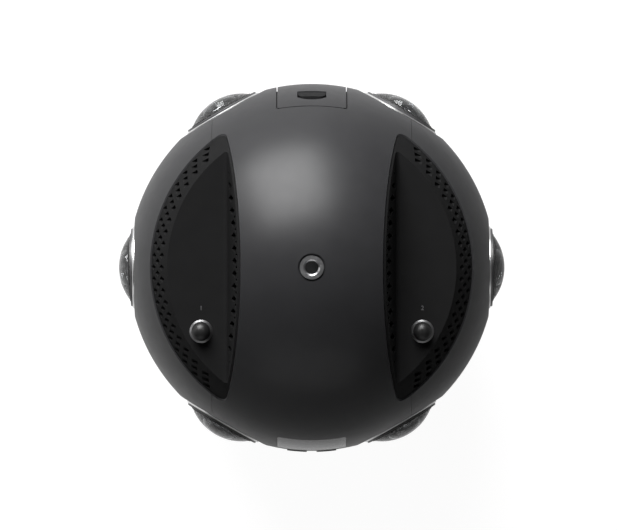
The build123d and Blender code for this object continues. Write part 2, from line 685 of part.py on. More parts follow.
def base_plate():
    """A round plate in the flat bottom, with a flange that rests on the shell."""
    flange = rod(BASE_FLANGE_RADIUS, -SHELL_BASE_DISTANCE, BASE_PLATE_TOP_Z)
    flange &= ball(SHELL_INNER_RADIUS - SEAT_GAP)
    plate = rod(BASE_PLATE_RADIUS, -BASE_DISTANCE, BASE_PLATE_TOP_Z) + flange
    plate -= rod(TRIPOD_BUSH_RADIUS + TRIPOD_FIT_GAP, -OVERRUN, 0)
    plate -= Pos(0, SMALL_THREAD_Y) * rod(SMALL_THREAD_RADIUS, -OVERRUN, 0)
    head_top = SCREW_HEAD_HEIGHT - BASE_DISTANCE
    for place in leg_places():
        plate -= place * rod(SCREW_RADIUS + SCREW_HOLE_GAP, -OVERRUN, 0)
        plate -= place * rod(SCREW_HEAD_RADIUS + SCREW_HOLE_GAP, -OVERRUN, head_top)
    return plate


def tripod_bush():
    """A flanged steel bush with a blind three eighths inch thread."""
    low = -BASE_DISTANCE
    bush = rod(TRIPOD_BUSH_RADIUS, low, low + TRIPOD_BUSH_LENGTH)
    flange = rod(TRIPOD_FLANGE_RADIUS, BASE_PLATE_TOP_Z, BASE_PLATE_TOP_Z + TRIPOD_FLANGE_THICKNESS)
    return bush + flange - rod(TRIPOD_RADIUS, low, low + TRIPOD_DEPTH)


def base_screw():
    low = -BASE_DISTANCE
    screw = rod(SCREW_HEAD_RADIUS, low, low + SCREW_HEAD_HEIGHT)
    screw += rod(SCREW_RADIUS, low, low + SCREW_LENGTH)
    drive = extrude(RegularPolygon(SCREW_DRIVE_RADIUS, 6), amount=SCREW_DRIVE_DEPTH)
    return screw - Pos(0, 0, low) * drive


# Chassis

def deck(side):
    """A round plate above or below the battery bay."""
    low, high = sorted((side * DECK_Z, side * (DECK_Z + DECK_THICKNESS)))
    return rod(DECK_RADIUS, low, high)


def upper_deck():
    """The upper plate, with posts up to the crown and a hole under the fan."""
    plate = deck(1) - rod(DECK_AIR_HOLE_RADIUS, 0, OVERRUN)
    bridge = block((-BAY_HALF_WIDTH, BAY_HALF_WIDTH), (BAY_BACK_Y, DECK_AIR_HOLE_RADIUS),
                   (DECK_Z, DECK_Z + DECK_THICKNESS))
    plate += bridge
    post_x = VENT_WALL_REACH - CROWN_POST_SETBACK
    post_y = FAN_HALF_WIDTH + CROWN_POST_FAN_GAP
    for side_x in (-1, 1):
        for side_y in (-1, 1):
            post = Pos(side_x * post_x, side_y * post_y) * rod(POST_RADIUS, DECK_Z, OVERRUN)
            plate += post & ball(SHELL_INNER_RADIUS - SEAT_GAP)
    return plate


def lower_deck():
    """The lower plate, with posts up to the upper plate and legs down to the base."""
    plate = deck(-1)
    for azimuth in POST_AZIMUTHS:
        plate += Rot(0, 0, azimuth) * Pos(POST_CIRCLE_RADIUS, 0, 0) * rod(POST_RADIUS, -DECK_Z, DECK_Z)
    post_x = MAIN_BOARD_HALF_WIDTH - BOARD_POST_INSET
    board_under = MAIN_BOARD_Z - MAIN_BOARD_THICKNESS
    for side_x in (-1, 1):
        for post_y in (MAIN_BOARD_FRONT_Y + BOARD_POST_INSET, MAIN_BOARD_REAR_Y - BOARD_POST_INSET):
            plate += Pos(side_x * post_x, post_y) * rod(POST_RADIUS, -DECK_Z, board_under)
    board_bottom = PORT_BOARD_TOP_Z - PORT_BOARD_THICKNESS
    pillar_distance = PORT_BOARD_FRONT - PORT_BOARD_DEPTH + PORT_PILLAR_INSET
    for azimuth in (RIGHT_FRONT_AZIMUTH, LEFT_FRONT_AZIMUTH, LEFT_REAR_AZIMUTH):
        pillar = Pos(pillar_distance, 0) * rod(PORT_PILLAR_RADIUS, -DECK_Z, board_bottom)
        plate += Rot(0, 0, azimuth) * pillar
    for place in leg_places():
        plate += place * rod(LEG_RADIUS, BASE_PLATE_TOP_Z, -DECK_Z)
        screw_top = SCREW_LENGTH - BASE_DISTANCE + RUNNING_GAP
        plate -= place * rod(SCREW_RADIUS + SEAT_GAP, -OVERRUN, screw_top)
    return plate


def main_board():
    board = block((-MAIN_BOARD_HALF_WIDTH, MAIN_BOARD_HALF_WIDTH), (MAIN_BOARD_FRONT_Y, MAIN_BOARD_REAR_Y),
                  (MAIN_BOARD_Z - MAIN_BOARD_THICKNESS, MAIN_BOARD_Z))
    middle_y = (SINK_FRONT_Y + SINK_REAR_Y) / 2
    chip = block((-CHIP_HALF_SIZE, CHIP_HALF_SIZE), (middle_y - CHIP_HALF_SIZE, middle_y + CHIP_HALF_SIZE),
                 (MAIN_BOARD_Z, MAIN_BOARD_Z + CHIP_HEIGHT))
    return board + chip


def heat_sink():
    """A finned block on the main chip, under the fan."""
    low = MAIN_BOARD_Z + CHIP_HEIGHT
    sink = block((-SINK_HALF_WIDTH, SINK_HALF_WIDTH), (SINK_FRONT_Y, SINK_REAR_Y), (low, low + SINK_BASE))
    fin_top = DECK_Z - SINK_HEADROOM
    step = (2 * SINK_HALF_WIDTH - SINK_FIN) / (SINK_FIN_COUNT - 1)
    for number in range(SINK_FIN_COUNT):
        left = number * step - SINK_HALF_WIDTH
        sink += block((left, left + SINK_FIN), (SINK_FRONT_Y, SINK_REAR_Y), (low, fin_top))
    return sink


def fan_housing():
    """A square fan frame with a hub plate on four struts and a shaft bush."""
    outline = RectangleRounded(2 * FAN_HALF_WIDTH, 2 * FAN_HALF_WIDTH, FAN_CORNER_RADIUS)
    frame = extrude(outline, amount=FAN_HEIGHT) - rod(FAN_BORE_RADIUS, 0, OVERRUN)
    frame += rod(FAN_HUB_RADIUS, 0, FAN_PLATE)
    for azimuth in LEG_AZIMUTHS:
        strut = block((0, FAN_BORE_RADIUS + FAN_PLATE), (-FAN_STRUT_WIDTH / 2, FAN_STRUT_WIDTH / 2),
                      (0, FAN_PLATE))
        frame += Rot(0, 0, azimuth) * strut
    frame += rod(FAN_BUSH_RADIUS, 0, FAN_PLATE + FAN_BUSH_HEIGHT)
    frame -= rod(FAN_SHAFT_RADIUS + FAN_SHAFT_FIT, FAN_PLATE, OVERRUN)
    return Pos(0, 0, FAN_BASE_Z) * frame


def fan_rotor():
    """A cupped hub on a shaft, with slanted blades."""
    low = FAN_PLATE + FAN_ROTOR_LIFT
    high = FAN_HEIGHT - FAN_ROTOR_LIFT
    inner_low = FAN_PLATE + FAN_BUSH_HEIGHT + FAN_ROTOR_LIFT
    hub = rod(FAN_HUB_RADIUS, low, high) - rod(FAN_HUB_RADIUS - FAN_PLATE, low, inner_low)
    rotor = hub + rod(FAN_SHAFT_RADIUS, low, high)
    tip = FAN_BORE_RADIUS - FAN_TIP_GAP
    middle = (low + high) / 2
    half_thickness = FAN_BLADE_THICKNESS / 2
    half_height = FAN_BLADE_HEIGHT / 2
    for number in range(FAN_BLADE_COUNT):
        blade = block((FAN_HUB_RADIUS - FAN_PLATE / 2, OVERRUN), (-half_thickness, half_thickness),
                      (-half_height, half_height))
        blade = Pos(0, 0, middle) * Rot(FAN_BLADE_ANGLE, 0, 0) * blade & rod(tip, low, high)
        rotor += Rot(0, 0, number * 360 / FAN_BLADE_COUNT) * blade
    return Pos(0, 0, FAN_BASE_Z) * rotor


# Battery

def battery_bay():
    """An open-fronted sleeve between the decks, with the contact block at its back."""
    outside = block((-BAY_HALF_WIDTH, BAY_HALF_WIDTH), (BAY_BACK_Y, BAY_MOUTH_Y),
                    (-BAY_HALF_HEIGHT, BAY_HALF_HEIGHT))
    half_width = BATTERY_HALF_WIDTH + BAY_CLEARANCE
    half_height = BATTERY_HALF_HEIGHT + BAY_CLEARANCE
    inside = block((-half_width, half_width), (BAY_BACK_Y + BAY_WALL, OVERRUN), (-half_height, half_height))
    contacts = block((-CONTACT_HALF_WIDTH, CONTACT_HALF_WIDTH),
                     (BAY_BACK_Y + BAY_WALL, BAY_BACK_Y + BAY_WALL + CONTACT_DEPTH),
                     (-CONTACT_HALF_HEIGHT, CONTACT_HALF_HEIGHT))
    return outside - inside + contacts


def battery_pack():
    outline = RectangleRounded(2 * BATTERY_HALF_WIDTH, 2 * BATTERY_HALF_HEIGHT, BATTERY_CORNER_RADIUS)
    back = COVER_BACK_Y - BATTERY_LENGTH
    pack = Pos(0, back, 0) * along_y(extrude(outline, amount=BATTERY_LENGTH))
    notch = block((-CONTACT_HALF_WIDTH - BAY_CLEARANCE, CONTACT_HALF_WIDTH + BAY_CLEARANCE),
                  (back, back + CONTACT_DEPTH),
                  (-CONTACT_HALF_HEIGHT - BAY_CLEARANCE, CONTACT_HALF_HEIGHT + BAY_CLEARANCE))
    return pack - notch


def latch_recess():
    """The finger recess with its arched top, and the hidden slot below for the foot and spring."""
    recess = block((-LATCH_RECESS_HALF_WIDTH, LATCH_RECESS_HALF_WIDTH), (LATCH_RECESS_FLOOR_Y, OVERRUN),
                   (LATCH_RECESS_LOW_Z, LATCH_RECESS_HIGH_Z))
    arch = along_y(rod(LATCH_RECESS_ARC_RADIUS, LATCH_RECESS_FLOOR_Y, OVERRUN))
    recess &= Pos(0, 0, LATCH_RECESS_HIGH_Z - LATCH_RECESS_ARC_RADIUS) * arch
    half_slot = LATCH_FOOT_HALF_WIDTH + RUNNING_GAP
    slot = block((-half_slot, half_slot),
                 (LATCH_RECESS_FLOOR_Y, LATCH_RECESS_FLOOR_Y + LATCH_FOOT_DEPTH + 2 * RUNNING_GAP),
                 (LATCH_SLOT_LOW_Z, LATCH_RECESS_LOW_Z))
    return recess + slot


def battery_cover():
    """The curved door on the battery's end, hollow in its middle."""
    inner_radius = BALL_RADIUS - COVER_SKIN
    cover = (ball(BALL_RADIUS) & cover_plug(COVER_GAP / 2)) - ball(inner_radius)
    cover += ball(inner_radius + SEAT_GAP) & cover_plug(COVER_LEDGE + COVER_GAP / 2)
    cover &= block((-OVERRUN, OVERRUN), (COVER_BACK_Y, OVERRUN), (-OVERRUN, OVERRUN))
    hollow = block((-COVER_HOLLOW_HALF_WIDTH, COVER_HOLLOW_HALF_WIDTH),
                   (COVER_BACK_Y + COVER_BACK_WALL, OVERRUN),
                   (-COVER_HOLLOW_HALF_HEIGHT, COVER_HOLLOW_HALF_HEIGHT))
    cover -= hollow & ball(SHELL_INNER_RADIUS)
    return cover - latch_recess()


def latch_low_z():
    return LATCH_RECESS_LOW_Z + RUNNING_GAP


def battery_latch():
    """The latch's finger block, sunk in the recess, and its foot on the spring."""
    back = LATCH_RECESS_FLOOR_Y + RUNNING_GAP
    half_width = LATCH_RECESS_HALF_WIDTH - RUNNING_GAP
    high = latch_low_z() + LATCH_BLOCK_HEIGHT
    latch = block((-half_width, half_width), (back, OVERRUN), (latch_low_z(), high))
    top_corners = latch.edges().filter_by(Axis.Y).group_by(Axis.Z)[-1]
    latch = fillet(top_corners, LATCH_BLOCK_CORNER_RADIUS) & ball(BALL_RADIUS - LATCH_FRONT_SINK)
    foot = block((-LATCH_FOOT_HALF_WIDTH, LATCH_FOOT_HALF_WIDTH), (back, back + LATCH_FOOT_DEPTH),
                 (latch_low_z() - LATCH_FOOT_DROP, latch_low_z()))
    return latch + foot


def latch_spring():
    """A folded steel strip between the slot's bottom and the latch's foot."""
    low = LATCH_SLOT_LOW_Z + SPRING_STRIP / 2
    high = latch_low_z() - LATCH_FOOT_DROP - SPRING_STRIP / 2
    half_width = LATCH_FOOT_HALF_WIDTH - RUNNING_GAP
    points = []
    for number in range(SPRING_FOLDS + 1):
        side = -1 if number % 2 else 1
        height = low + (high - low) * number / SPRING_FOLDS
        points.append((side * half_width, height))
    strip = trace(Polyline(*points), line_width=SPRING_STRIP)
    middle_y = LATCH_RECESS_FLOOR_Y + RUNNING_GAP + LATCH_FOOT_DEPTH / 2
    return Pos(0, middle_y, 0) * extrude(Plane.XZ * strip, amount=SPRING_WIDTH / 2, both=True)


# Display and buttons

def display_window():
    """A curved window that rests on a ledge in the shell."""
    pane = ball(BALL_RADIUS) & display_prism(DISPLAY_FIT_GAP)
    return pane - ball(BALL_RADIUS - DISPLAY_GLASS)


def button(place):
    """A key that follows the ball's curve, with a flange and a stem behind the shell."""
    far_x = abs(place[0]) + BUTTON_WIDTH / 2 + BUTTON_FLANGE
    far_z = abs(place[1]) + BUTTON_HEIGHT / 2 + BUTTON_FLANGE
    flange_front = sphere_depth(SHELL_INNER_RADIUS, far_x, far_z) - RUNNING_GAP
    flange_back = flange_front - BUTTON_FLANGE_THICKNESS
    front = block((-OVERRUN, OVERRUN), (-OVERRUN, -flange_back), (-OVERRUN, OVERRUN))
    flange_zone = block((-OVERRUN, OVERRUN), (-flange_front, -flange_back), (-OVERRUN, OVERRUN))
    key = button_prism(place, 0) & ball(BALL_RADIUS + BUTTON_PROUD) & front
    key += button_prism(place, BUTTON_FLANGE) & flange_zone
    stem_end = CONTROL_BOARD_Y - SWITCH_HEIGHT - BUTTON_TRAVEL
    stem = Pos(place[0], 0, place[1]) * along_y(rod(BUTTON_STEM_RADIUS, -flange_back, stem_end))
    return key + stem


def control_board():
    """The board behind the front, with the display panel and a switch under each button."""
    board = block((-CONTROL_BOARD_HALF_WIDTH, CONTROL_BOARD_HALF_WIDTH),
                  (CONTROL_BOARD_Y, CONTROL_BOARD_Y + CONTROL_BOARD_THICKNESS),
                  (CONTROL_BOARD_LOW_Z, CONTROL_BOARD_HIGH_Z))
    panel_front = CONTROL_BOARD_Y - PANEL_THICKNESS
    board += block((-PANEL_HALF_WIDTH, PANEL_HALF_WIDTH), (panel_front, CONTROL_BOARD_Y),
                   (DISPLAY_LOW_Z + PANEL_INSET, PANEL_HIGH_Z))
    for place in button_places():
        switch = along_y(rod(SWITCH_RADIUS, CONTROL_BOARD_Y - SWITCH_HEIGHT, CONTROL_BOARD_Y))
        board += Pos(place[0], 0, place[1]) * switch
    return board


# Ports

def socket_body(size, side):
    """A socket's outer block, in a frame whose +X points out of the port."""
    return block((PORT_FACE_DISTANCE - size[0], PORT_FACE_DISTANCE),
                 (side - size[1] / 2, side + size[1] / 2),
                 (PORT_BOARD_TOP_Z, PORT_BOARD_TOP_Z + size[2]))


def socket_cavity(size, side, low_z):
    return block((PORT_FACE_DISTANCE - size[0], OVERRUN), (side - size[1] / 2, side + size[1] / 2),
                 (low_z, low_z + size[2]))


def ethernet_socket():
    low_z = PORT_BOARD_TOP_Z + ETHERNET_CAVITY_RISE
    socket = socket_body(ETHERNET_SIZE, ETHERNET_SIDE)
    socket -= socket_cavity(ETHERNET_CAVITY, ETHERNET_SIDE, low_z)
    return Rot(0, 0, RIGHT_FRONT_AZIMUTH) * socket


def flat_socket(azimuth, size, tongue, side):
    """A thin metal-shelled socket with a contact tongue inside."""
    middle_z = PORT_BOARD_TOP_Z + size[2] / 2
    cavity = (tongue[0], size[1] - 2 * FLAT_SOCKET_WALL, size[2] - 2 * FLAT_SOCKET_WALL)
    socket = socket_body(size, side) - socket_cavity(cavity, side, middle_z - cavity[2] / 2)
    blade = block((PORT_FACE_DISTANCE - size[0], PORT_FACE_DISTANCE - size[0] + tongue[0]),
                  (side - tongue[1] / 2, side + tongue[1] / 2),
                  (middle_z - tongue[2] / 2, middle_z + tongue[2] / 2))
    return Rot(0, 0, azimuth) * (socket + blade)


def round_socket(azimuth, size, side, bore_radius, bore_depth, pin_radius):
    """A block with a round bore, and a centre pin where its radius isn't zero."""
    middle_z = PORT_BOARD_TOP_Z + size[2] / 2
    turned = Pos(0, side, middle_z) * Rot(0, 90, 0)
    floor = PORT_FACE_DISTANCE - bore_depth
    socket = socket_body(size, side) - turned * rod(bore_radius, floor, OVERRUN)
    if pin_radius > 0:
        socket += turned * rod(pin_radius, floor, PORT_FACE_DISTANCE - PORT_WALL)
    return Rot(0, 0, azimuth) * socket


def card_slots():
    """A block of memory card slots in two columns."""
    middle_z = PORT_BOARD_TOP_Z + CARD_SIZE[2] / 2
    slots = socket_body(CARD_SIZE, 0)
    for place_y in row_places(CARD_SLOT_STEP_Y, CARD_COLUMNS):
        for place_z in row_places(CARD_SLOT_STEP_Z, CARD_ROWS):
            slots -= socket_cavity(CARD_SLOT, place_y, middle_z + place_z - CARD_SLOT[2] / 2)
    return Rot(0, 0, LEFT_REAR_AZIMUTH) * slots


def port_board(azimuth):
    x_span = (PORT_BOARD_FRONT - PORT_BOARD_DEPTH, PORT_BOARD_FRONT)
    board = block(x_span, (-PORT_HALF_WIDTH, PORT_HALF_WIDTH),
                  (PORT_BOARD_TOP_Z - PORT_BOARD_THICKNESS, PORT_BOARD_TOP_Z))
    return Rot(0, 0, azimuth) * board


def ports_of_right_shell():
    return {RIGHT_FRONT_AZIMUTH: [(ETHERNET_SIZE, ETHERNET_SIDE), (USB_SIZE, USB_SIDE)]}


def ports_of_left_shell():
    front = [(HDMI_SIZE, HDMI_SIDE), (AUDIO_SIZE, AUDIO_SIDE), (POWER_SIZE, POWER_SIDE)]
    return {LEFT_FRONT_AZIMUTH: front, LEFT_REAR_AZIMUTH: [(CARD_SIZE, 0)]}


def save(name, shapes):
    """Writes one node, lifted so that the tripod bush's mouth is at height zero."""
    solids = [solid for shape in shapes for solid in (Pos(0, 0, BASE_DISTANCE) * shape).solids()]
    node = solids[0] if len(solids) == 1 else Compound(children=solids)
    export_step(node, os.path.join("parts", name + ".step"))


def save_lens_units():
    bezel = lens_bezel()
    barrel = lens_barrel()
    glass = lens_glass()
    for number, azimuth in enumerate(lens_azimuths(), start=1):
        save(f"lens_{number}_bezel", [facing(azimuth) * bezel])
        save(f"lens_{number}_barrel", [facing(azimuth) * barrel])
        save(f"lens_{number}_glass", [facing(azimuth) * piece for piece in glass])
    save("lens_trim_plates", [facing(azimuth) * lens_trim_plate() for azimuth in lens_azimuths()])
    save("lens_sensor_boards", [facing(azimuth) * sensor_board() for azimuth in lens_azimuths()])


def save_shells():
    skin = hollow_shell()
    save("upper_shell", [upper_shell(skin)])
    save("lower_shell", [lower_shell(skin)])
    edge = SEAM_X + SEAM_GAP / 2
    save("right_side_shell", [side_shell(skin, (edge, OVERRUN), ports_of_right_shell())])
    save("left_side_shell", [side_shell(skin, (-OVERRUN, -edge), ports_of_left_shell())])


def save_vents():
    right_top, left_top, right_bottom, left_bottom = at_four_vents(vent_tray())
    save("right_top_vent", [right_top - antenna_hole(1)])
    save("left_top_vent", [left_top - antenna_hole(-1)])
    save("right_bottom_vent", [right_bottom])
    save("left_bottom_vent", [left_bottom])
    save("antenna_sockets", [antenna_socket(-1), antenna_socket(1)])
    save("left_antenna_cap", [antenna_cap(-1)])
    save("right_antenna_cap", [antenna_cap(1)])


def save_inside():
    save("upper_deck", [upper_deck()])
    save("lower_deck", [lower_deck()])
    save("main_board", [main_board()])
    save("heat_sink", [heat_sink()])
    save("fan_housing", [fan_housing()])
    save("fan_rotor", [fan_rotor()])
    save("top_thread_bush", [top_thread_bush()])
    save("base_plate", [base_plate()])
    save("tripod_bush", [tripod_bush()])
    save("base_screws", [place * base_screw() for place in leg_places()])


def save_battery():
    save("battery_bay", [battery_bay()])
    save("battery_pack", [battery_pack()])
    save("battery_cover", [battery_cover()])
    save("battery_latch", [battery_latch()])
    save("latch_spring", [latch_spring()])


def save_front():
    save("display_window", [display_window()])
    save("control_board", [control_board()])
    names = ("upper_left_button", "upper_right_button", "lower_left_button", "lower_right_button",
             "power_button")
    for name, place in zip(names, button_places()):
        save(name, [button(place)])


def save_ports():
    save("ethernet_socket", [ethernet_socket()])
    save("usb_socket", [flat_socket(RIGHT_FRONT_AZIMUTH, USB_SIZE, USB_TONGUE, USB_SIDE)])
    save("hdmi_socket", [flat_socket(LEFT_FRONT_AZIMUTH, HDMI_SIZE, HDMI_TONGUE, HDMI_SIDE)])
    save("audio_socket", [round_socket(LEFT_FRONT_AZIMUTH, AUDIO_SIZE, AUDIO_SIDE, AUDIO_BORE_RADIUS,
                                       AUDIO_BORE_DEPTH, 0)])
    save("power_socket", [round_socket(LEFT_FRONT_AZIMUTH, POWER_SIZE, POWER_SIDE, POWER_BORE_RADIUS,
                                       POWER_BORE_DEPTH, POWER_PIN_RADIUS)])
    save("card_slots", [card_slots()])
    azimuths = (RIGHT_FRONT_AZIMUTH, LEFT_FRONT_AZIMUTH, LEFT_REAR_AZIMUTH)
    save("port_boards", [port_board(azimuth) for azimuth in azimuths])


os.makedirs("parts", exist_ok=True)
save_lens_units()
save_shells()
save_vents()
save_inside()
save_battery()
save_front()
save_ports()
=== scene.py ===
import bpy
import bmesh
from math import cos, pi, radians, sin
from typing import NamedTuple
from mathutils import Matrix, Vector
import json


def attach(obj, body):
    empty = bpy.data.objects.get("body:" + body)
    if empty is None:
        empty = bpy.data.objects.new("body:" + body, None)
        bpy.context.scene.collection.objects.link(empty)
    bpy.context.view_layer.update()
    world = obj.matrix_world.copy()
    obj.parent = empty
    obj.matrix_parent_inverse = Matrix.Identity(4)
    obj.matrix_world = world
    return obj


# A ball-shaped camera with six lenses, seen from straight above on a pale floor.
# Everything is in metres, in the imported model's own frame, and angles are in degrees.
MM = 0.001

# The photograph's frame and the ball's middle in it, in pixels, and its scale at the ball's centre
PHOTO_WIDTH = 617
PHOTO_HEIGHT = 530
BALL_PIXEL_X = 311.7
BALL_PIXEL_Y = 267.4
PHOTO_METRES_PER_PIXEL = 0.3897 * MM
CAMERA_DISTANCE = 2.6
CAMERA_REACH = 20.0

# Blender takes a camera's sensor and lens in millimetres
SENSOR_WIDTH = 36.0

# The object's own measures that the pieces made here fit
BALL_CENTRE = Vector((0, 0, 67.5 * MM))
VENT_FLOOR_Z = BALL_CENTRE.z + 44.4 * MM
ANTENNA_X = 42.4 * MM
ANTENNA_Y = -24.5 * MM
ANTENNA_STUB_FOOT = VENT_FLOOR_Z + 0.8 * MM
ANTENNA_STUB_RADIUS = 2.5 * MM
ANTENNA_STUB_HEIGHT = 2.7 * MM
LENS_COUNT = 6
LENS_STEP_ANGLE = 360 / LENS_COUNT
LENS_SEAT = 70.75 * MM
ELEMENT_BACK = LENS_SEAT - 7.6 * MM
BARREL_STEP = LENS_SEAT - 10.0 * MM
BARREL_FRONT_BORE = 10.2 * MM
BARREL_REAR_BORE = 7.0 * MM
PORT_FACE = 63.2 * MM
PORT_BOARD_TOP = BALL_CENTRE.z - 29.0 * MM
RIGHT_FRONT_AZIMUTH = 330.0
LEFT_FRONT_AZIMUTH = 210.0

# Threads: nominal radius, pitch and length, and the ridge's shape
QUARTER_INCH_RADIUS = 3.175 * MM
QUARTER_INCH_PITCH = 1.27 * MM
CROWN_MOUTH = BALL_CENTRE.z + 71.35 * MM
CROWN_LENGTH = 7.0 * MM
BASE_LENGTH = 5.8 * MM
SMALL_THREAD_Y = 14.2 * MM
TRIPOD_RADIUS = 4.7625 * MM
TRIPOD_PITCH = 1.5875 * MM
TRIPOD_LENGTH = 12.0 * MM
ANTENNA_PITCH = 0.7 * MM
ANTENNA_RIDGE_SHARE = 0.5
THREAD_DEPTH_SHARE = 0.5
THREAD_FLANK_SHARE = 0.42
THREAD_STEPS = 36
THREAD_SINK = 0.01 * MM

# Numerals beside the antenna ports
NUMERAL_SIZE = 2.4 * MM
NUMERAL_STEP_Y = 8.9 * MM
NUMERAL_DEPTH = 0.01 * MM

# Socket contacts: each socket's place sideways and above its board, and its contacts' number, pitch and size
ETHERNET_SIDE = -5.5 * MM
ETHERNET_PINS = 8
ETHERNET_PITCH = 1.02 * MM
ETHERNET_PIN_SIZE = (7.0 * MM, 0.45 * MM, 0.3 * MM)
ETHERNET_PIN_BACK = 13.8 * MM
ETHERNET_PIN_Z = 8.8 * MM
ETHERNET_PIN_TILT = -14.0
USB_SIDE = 8.9 * MM
USB_CONTACTS = 12
USB_PITCH = 0.5 * MM
HDMI_SIDE = -8.8 * MM
HDMI_CONTACTS = 9
HDMI_PITCH = 0.42 * MM
FLAT_SOCKET_MIDDLE_Z = 1.85 * MM
FLAT_CONTACT_SIZE = (5.0 * MM, 0.22 * MM, 0.04 * MM)
FLAT_CONTACT_BACK = 8.6 * MM
FLAT_TONGUE_HALF = 0.4 * MM
AUDIO_SIDE = -0.4 * MM
AUDIO_MIDDLE_Z = 3.1 * MM
AUDIO_BORE = 1.8 * MM
POWER_SIDE = 9.0 * MM
POWER_MIDDLE_Z = 5.5 * MM
POWER_BORE = 2.9 * MM
RING_WIDTH = 0.55 * MM
RING_HEIGHT = 0.12 * MM
TURN_STEPS = 64

# Insides of the lens barrels
BAFFLE_SHARES = (0.25, 0.5, 0.75)
REAR_ELEMENT_RISE = 2.0 * MM
REAR_ELEMENT_STEPS = 8
REAR_ELEMENT_HOLE = 0.01 * MM

# The floor: white to the camera, less bright in reflections, and dimmest there on the right and in front
FLOOR_RADIUS = 5.0
FLOOR_SIDES = 96
FLOOR_DROP = 0.2 * MM
FLOOR_GREY = 0.9
FLOOR_ROUGHNESS = 0.9
FLOOR_SHADOW_SHARE = 0.16
FLOOR_GLOW = 1.13
MIRRORED_GLOW = 0.65
MIRRORED_DIM_SHARE = 0.3
MIRRORED_RIGHT_EDGE = 0.05
MIRRORED_RIGHT_WIDTH = 0.06
MIRRORED_FRONT_EDGE = 0.105
MIRRORED_FRONT_WIDTH = 0.1

# The surroundings: brighter towards one side, and dim overhead
BRIGHT_SIDE = (-0.8, 0.6, 0.0)
SIDE_REACH = 0.8
BRIGHT_SIDE_LIGHT = 0.23
DIM_SIDE_LIGHT = 0.06
OVERHEAD_LIGHT = 0.04
OVERHEAD_Z = 0.6

# Noise: the part of its range that holds nearly all its values, and its detail in blotches and in grain
NOISE_LOW = 0.3
NOISE_HIGH = 0.7
BLOTCH_DETAIL = 3.0
GRAIN_DETAIL = 2.0


class Lamp(NamedTuple):
    """A soft box that faces the ball's centre. Azimuth 0 is +X and 90 is +Y."""
    azimuth: float
    elevation: float
    distance: float
    size: tuple
    power: float


LAMPS = {
    "back_softbox": Lamp(azimuth=106.0, elevation=35.0, distance=1.2, size=(0.85, 1.0), power=37.0),
    "left_softbox": Lamp(azimuth=170.0, elevation=20.0, distance=1.4, size=(0.7, 0.7), power=2.0),
    "front_softbox": Lamp(azimuth=268.0, elevation=24.0, distance=1.5, size=(1.4, 0.8), power=2.5),
}


class Look(NamedTuple):
    """How a surface looks: its blotches in gloss and colour, its grain, and other shader values."""
    colour: tuple
    roughness: float
    metallic: float = 0.0
    specular: float = 0.5
    gloss_blotch: float = 0.0
    gloss_change: float = 0.0
    colour_blotch: float = 0.0
    colour_share: float = 0.0
    grain_size: float = 0.0
    grain_height: float = 0.0
    grain_strength: float = 0.0
    grain_stretch: tuple = (1.0, 1.0, 1.0)
    other_values: tuple = ()


